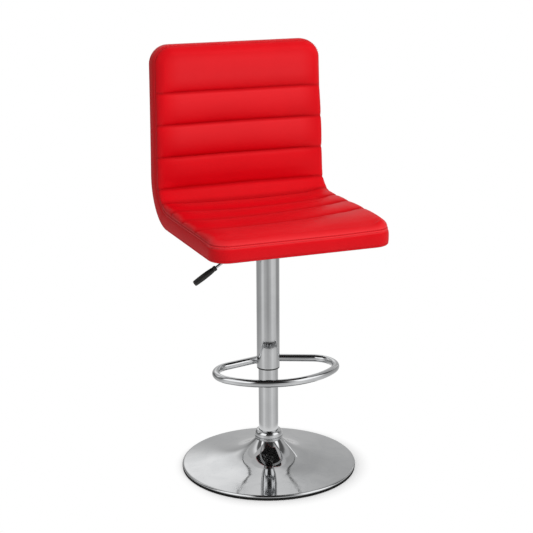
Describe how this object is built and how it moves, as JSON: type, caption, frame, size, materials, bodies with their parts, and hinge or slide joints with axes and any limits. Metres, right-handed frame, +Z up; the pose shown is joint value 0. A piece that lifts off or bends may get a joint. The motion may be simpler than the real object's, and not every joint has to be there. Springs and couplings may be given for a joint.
{
  "type": "adjustable swivel stool",
  "caption": "Height-adjustable swivel bar stool: L-shaped channelled red seat with back, chrome gas-lift column, D-shaped footrest and trumpet base.",
  "frame": {"origin": "on the column axis at floor level, under the rubber ring of the base", "axes": "+Z up along the column, -Y the way the sitter faces, -X the sitter's right, where the lever is"},
  "size_m": [0.3924, 0.4152, 0.9211],
  "materials": {
    "chrome": "polished",
    "satin_chrome": "satin",
    "bare_steel": "satin",
    "zinc_steel": "satin",
    "black_metal": "satin",
    "black_plastic": "satin",
    "rubber": "matte",
    "plywood": "matte",
    "foam": "matte",
    "red_leather": "satin",
    "black_felt": "matte"
  },
  "bodies": {
    "base": {"floor_ring": "rubber", "base_shell": "chrome", "ballast_plate": "bare_steel", "base_socket": "bare_steel", "base_collar": "chrome", "stand_tube": "satin_chrome", "guide_bush": "black_plastic", "lower_race": "bare_steel", "ball_cage": "bare_steel"},
    "spindle": {"piston_rod": "chrome", "rod_clip": "bare_steel", "rod_washer": "zinc_steel", "upper_race": "bare_steel", "bump_stop": "rubber", "piston": "black_plastic", "piston_nut": "zinc_steel"},
    "seat": {"sleeve": "satin_chrome", "sleeve_bush": "black_plastic", "sleeve_cap": "black_plastic", "footrest": "chrome", "gas_cylinder": "black_metal", "cylinder_gland": "black_plastic", "taper_hub": "bare_steel", "mechanism_channel": "black_metal", "seat_plate": "black_metal", "lever_bush": "black_plastic", "seat_bolt_1": "zinc_steel", "bolt_washer_1": "zinc_steel", "tee_nut_1": "zinc_steel", "seat_bolt_2": "zinc_steel", "bolt_washer_2": "zinc_steel", "tee_nut_2": "zinc_steel", "seat_bolt_3": "zinc_steel", "bolt_washer_3": "zinc_steel", "tee_nut_3": "zinc_steel", "seat_bolt_4": "zinc_steel", "bolt_washer_4": "zinc_steel", "tee_nut_4": "zinc_steel", "seat_board": "plywood", "foam_pad": "foam", "seat_cover": "red_leather", "under_panel": "black_felt", "back_panel": "red_leather"},
    "lever": {"lever_rod": "chrome", "lever_grip": "black_plastic"},
    "valve": {"valve_button": "zinc_steel"}
  },
  "joints": [
    {"name": "seat_swivel", "type": "hinge", "parent": "base", "child": "spindle", "pos_m": [0, 0, 0.02], "axis": [0, 0, 1], "continuous": true},
    {"name": "seat_lift", "type": "slide", "parent": "spindle", "child": "seat", "axis": [0, 0, 1], "range_m": [0, 0.21]},
    {"name": "lever_lift", "type": "hinge", "parent": "seat", "child": "lever", "pos_m": [-0.03375, 0, 0.517], "axis": [0, 1, 0], "range_deg": [0, 6], "stiffness_Nm_per_rad": 0.8, "springref_deg": -22.92},
    {"name": "valve_press", "type": "slide", "parent": "seat", "child": "valve", "axis": [0, 0, -1], "range_m": [0, 0.0037]}
  ],
  "couplings": [
    {"joint": "valve_press", "follows": "lever_lift", "m_per_rad": 0.035}
  ]
}
